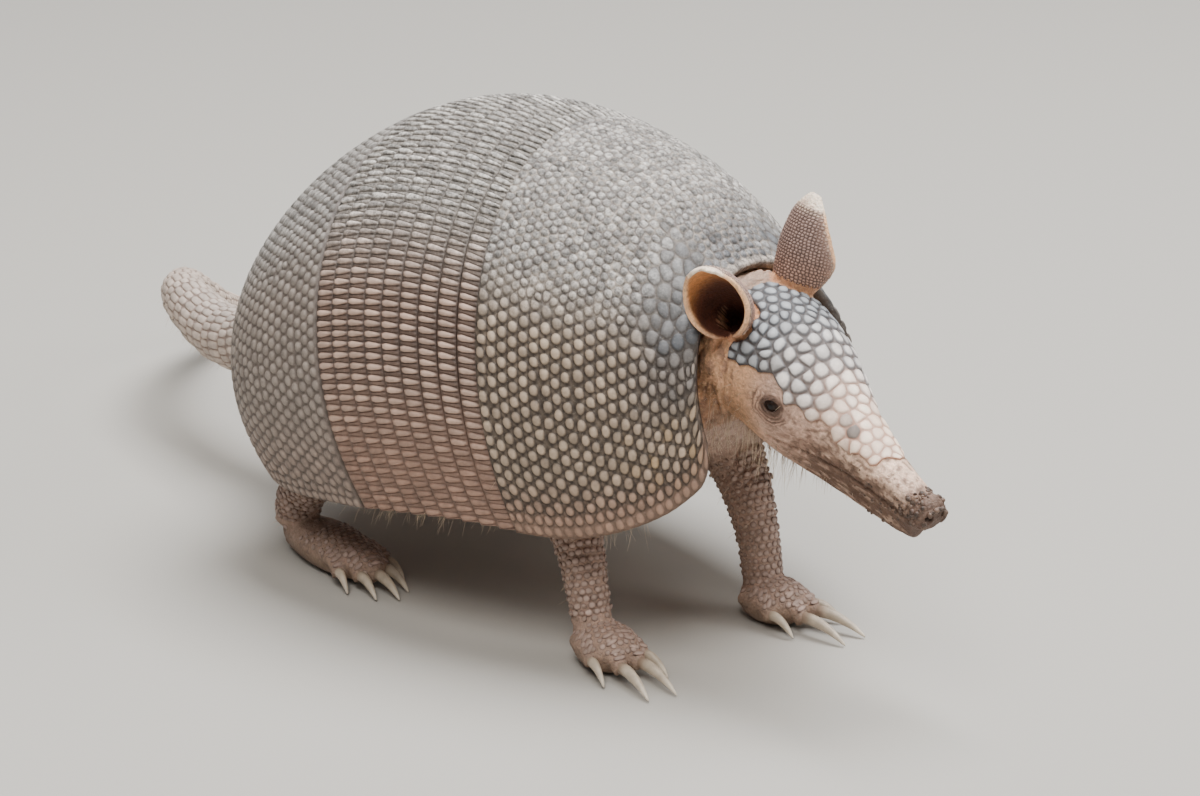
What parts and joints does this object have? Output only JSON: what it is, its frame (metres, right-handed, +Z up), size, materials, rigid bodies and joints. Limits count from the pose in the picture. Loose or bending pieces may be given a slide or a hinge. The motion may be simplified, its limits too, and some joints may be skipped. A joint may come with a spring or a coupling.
{
  "type": "nine-banded armadillo",
  "caption": "Life-size nine-banded armadillo standing still: domed scaly shell with bands, plated head with long snout and upright ears, short clawed legs and a ringed tail laid on the floor.",
  "frame": {"origin": "middle of the bounding box, on the floor under the body", "axes": "+X the way the animal faces, +Y its left side, +Z up"},
  "size_m": [0.5146, 0.2668, 0.1873],
  "materials": {
    "shell": "dull horny scutes, grey-brown, pale on the low shoulder",
    "band": "dull horny scales, grey above, pinkish below",
    "casque": "smooth horny plates, blue-grey behind, cream in front",
    "skin": "wrinkled tan-pink skin with sparse pale hair",
    "ear": "granular leathery skin, brown with a cream rim",
    "nose": "damp dark brown skin",
    "eye": "wet black",
    "tail": "rings of small pale horny scales",
    "claw": "worn horn, cream-brown"
  },
  "bodies": {
    "root": {"shoulder_shield": "shell", "band_1": "band", "band_2": "band", "band_3": "band", "band_4": "band", "band_5": "band", "band_6": "band", "band_7": "band", "band_8": "band", "band_9": "band", "rump_shield": "shell", "eye_right": "eye", "ear_right": "ear", "eye_left": "eye", "ear_left": "ear", "head": "skin", "casque": "casque", "jaw": "skin", "nose": "nose", "tail_1": "tail", "tail_2": "tail", "tail_3": "tail", "tail_4": "tail", "tail_tip": "tail", "trunk": "skin", "neck": "skin", "foreleg_right": "skin", "forepaw_right": "skin", "forepaw_right_claw_1": "claw", "forepaw_right_claw_2": "claw", "forepaw_right_claw_3": "claw", "forepaw_right_claw_4": "claw", "hindleg_right": "skin", "hindfoot_right": "skin", "hindfoot_right_claw_1": "claw", "hindfoot_right_claw_2": "claw", "hindfoot_right_claw_3": "claw", "hindfoot_right_claw_4": "claw", "hindfoot_right_claw_5": "claw", "foreleg_left": "skin", "forepaw_left": "skin", "forepaw_left_claw_1": "claw", "forepaw_left_claw_2": "claw", "forepaw_left_claw_3": "claw", "forepaw_left_claw_4": "claw", "hindleg_left": "skin", "hindfoot_left": "skin", "hindfoot_left_claw_1": "claw", "hindfoot_left_claw_2": "claw", "hindfoot_left_claw_3": "claw", "hindfoot_left_claw_4": "claw", "hindfoot_left_claw_5": "claw"}
  },
  "joints": []
}
